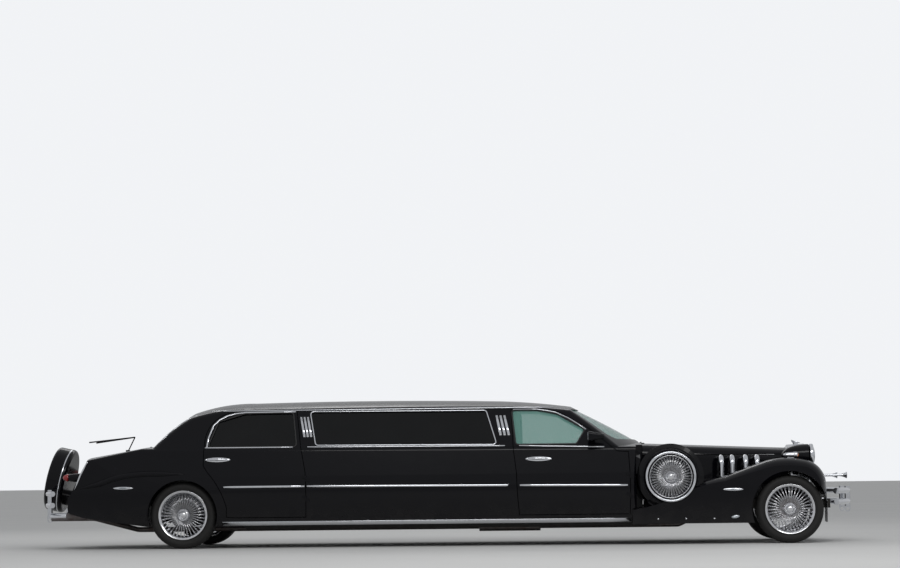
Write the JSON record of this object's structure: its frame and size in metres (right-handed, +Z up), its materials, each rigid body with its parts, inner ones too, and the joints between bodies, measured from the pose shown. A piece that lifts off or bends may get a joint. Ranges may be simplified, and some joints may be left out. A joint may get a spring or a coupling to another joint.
{
  "type": "stretch limousine",
  "caption": "Long six-light chauffeured saloon in a pre-war style, with side-mounted spares, wire wheels, upright radiator, hinged doors, lids and steering.",
  "frame": {"origin": "on the ground under the middle of the whole car", "axes": "+X to the front of the car, +Y to its left, +Z up"},
  "size_m": [8.3207, 2.2, 1.4843],
  "materials": {
    "body_paint": "deep black gloss paint",
    "clear_glass": "clear green-tinted glass",
    "dark_glass": "dark privacy glass",
    "chrome": "polished chrome",
    "wire_chrome": "polished chrome wire and rim",
    "red_lens": "red lens plastic in a chrome bezel",
    "tyre_rubber": "black tyre rubber",
    "bare_steel": "bare steel",
    "cast_iron": "dark cast iron",
    "chassis_paint": "satin black chassis paint",
    "seat_leather": "dark leather",
    "trim_plastic": "dark trim"
  },
  "bodies": {
    "body": {"roof_panel": "body_paint", "sills": "body_paint", "centre_panels": "body_paint", "cowl": "body_paint", "rear_body": "body_paint", "bonnet_sides": "body_paint", "front_wings": "body_paint", "front_apron": "body_paint", "windscreen": "clear_glass", "fixed_windows": "dark_glass", "radiator": "chrome", "headlamps": "chrome", "wing_lamps": "chrome", "horns": "chrome", "side_pipes": "chrome", "front_bumper": "chrome", "rear_bumper": "chrome", "tail_lamps": "red_lens", "spare_cover": "body_paint", "spare_tyres": "tyre_rubber", "spare_wheels": "wire_chrome", "front_suspension": "bare_steel", "rear_axle": "cast_iron", "propshaft": "bare_steel", "exhaust": "bare_steel", "frame_rails": "chassis_paint", "crossmembers": "chassis_paint", "floor_pan": "chassis_paint", "fuel_tank": "chassis_paint", "engine": "cast_iron", "seats": "seat_leather", "dashboard": "trim_plastic", "partition": "trim_plastic"},
    "door_front_left": {"door_front_left": "body_paint", "glass_front_left": "clear_glass"},
    "door_rear_left": {"door_rear_left": "body_paint", "glass_rear_left": "dark_glass"},
    "knuckle_left": {"knuckle_left": "bare_steel"},
    "wheel_front_left": {"wheel_front_left": "wire_chrome", "tyre_front_left": "tyre_rubber"},
    "wheel_rear_left": {"wheel_rear_left": "wire_chrome", "tyre_rear_left": "tyre_rubber"},
    "door_front_right": {"door_front_right": "body_paint", "glass_front_right": "clear_glass"},
    "door_rear_right": {"door_rear_right": "body_paint", "glass_rear_right": "dark_glass"},
    "knuckle_right": {"knuckle_right": "bare_steel"},
    "wheel_front_right": {"wheel_front_right": "wire_chrome", "tyre_front_right": "tyre_rubber"},
    "wheel_rear_right": {"wheel_rear_right": "wire_chrome", "tyre_rear_right": "tyre_rubber"},
    "bonnet": {"bonnet_lid": "body_paint"},
    "boot": {"boot_lid": "body_paint", "boot_antenna": "body_paint"}
  },
  "joints": [
    {"name": "door_front_left_hinge", "type": "hinge", "parent": "body", "child": "door_front_left", "pos_m": [1.8995, 0.985, 0.65], "axis": [0, 0, -1], "range_deg": [0, 65]},
    {"name": "door_rear_left_hinge", "type": "hinge", "parent": "body", "child": "door_rear_left", "pos_m": [-1.3275, 0.985, 0.65], "axis": [0, 0, -1], "range_deg": [0, 65]},
    {"name": "steering_left", "type": "hinge", "parent": "body", "child": "knuckle_left", "pos_m": [3.4745, 0.8, 0.336], "axis": [0, 0, 1], "range_deg": [-30, 30]},
    {"name": "wheel_front_left_spin", "type": "hinge", "parent": "knuckle_left", "child": "wheel_front_left", "pos_m": [3.4745, 0.818, 0.336], "axis": [0, 1, 0], "continuous": true},
    {"name": "wheel_rear_left_spin", "type": "hinge", "parent": "body", "child": "wheel_rear_left", "pos_m": [-2.5755, 0.818, 0.336], "axis": [0, 1, 0], "continuous": true},
    {"name": "door_front_right_hinge", "type": "hinge", "parent": "body", "child": "door_front_right", "pos_m": [1.8995, -0.985, 0.65], "axis": [0, 0, 1], "range_deg": [0, 65]},
    {"name": "door_rear_right_hinge", "type": "hinge", "parent": "body", "child": "door_rear_right", "pos_m": [-1.3275, -0.985, 0.65], "axis": [0, 0, 1], "range_deg": [0, 65]},
    {"name": "steering_right", "type": "hinge", "parent": "body", "child": "knuckle_right", "pos_m": [3.4745, -0.8, 0.336], "axis": [0, 0, 1], "range_deg": [-30, 30]},
    {"name": "wheel_front_right_spin", "type": "hinge", "parent": "knuckle_right", "child": "wheel_front_right", "pos_m": [3.4745, -0.818, 0.336], "axis": [0, 1, 0], "continuous": true},
    {"name": "wheel_rear_right_spin", "type": "hinge", "parent": "body", "child": "wheel_rear_right", "pos_m": [-2.5755, -0.818, 0.336], "axis": [0, 1, 0], "continuous": true},
    {"name": "bonnet_hinge", "type": "hinge", "parent": "body", "child": "bonnet", "pos_m": [2.03, 0, 1.02], "axis": [0, -1, 0], "range_deg": [0, 55]},
    {"name": "boot_hinge", "type": "hinge", "parent": "body", "child": "boot", "pos_m": [-3.015, 0, 1.029], "axis": [0, 1, 0], "range_deg": [0, 60]}
  ],
  "couplings": [
    {"joint": "steering_right", "follows": "steering_left", "ratio": 1}
  ]
}
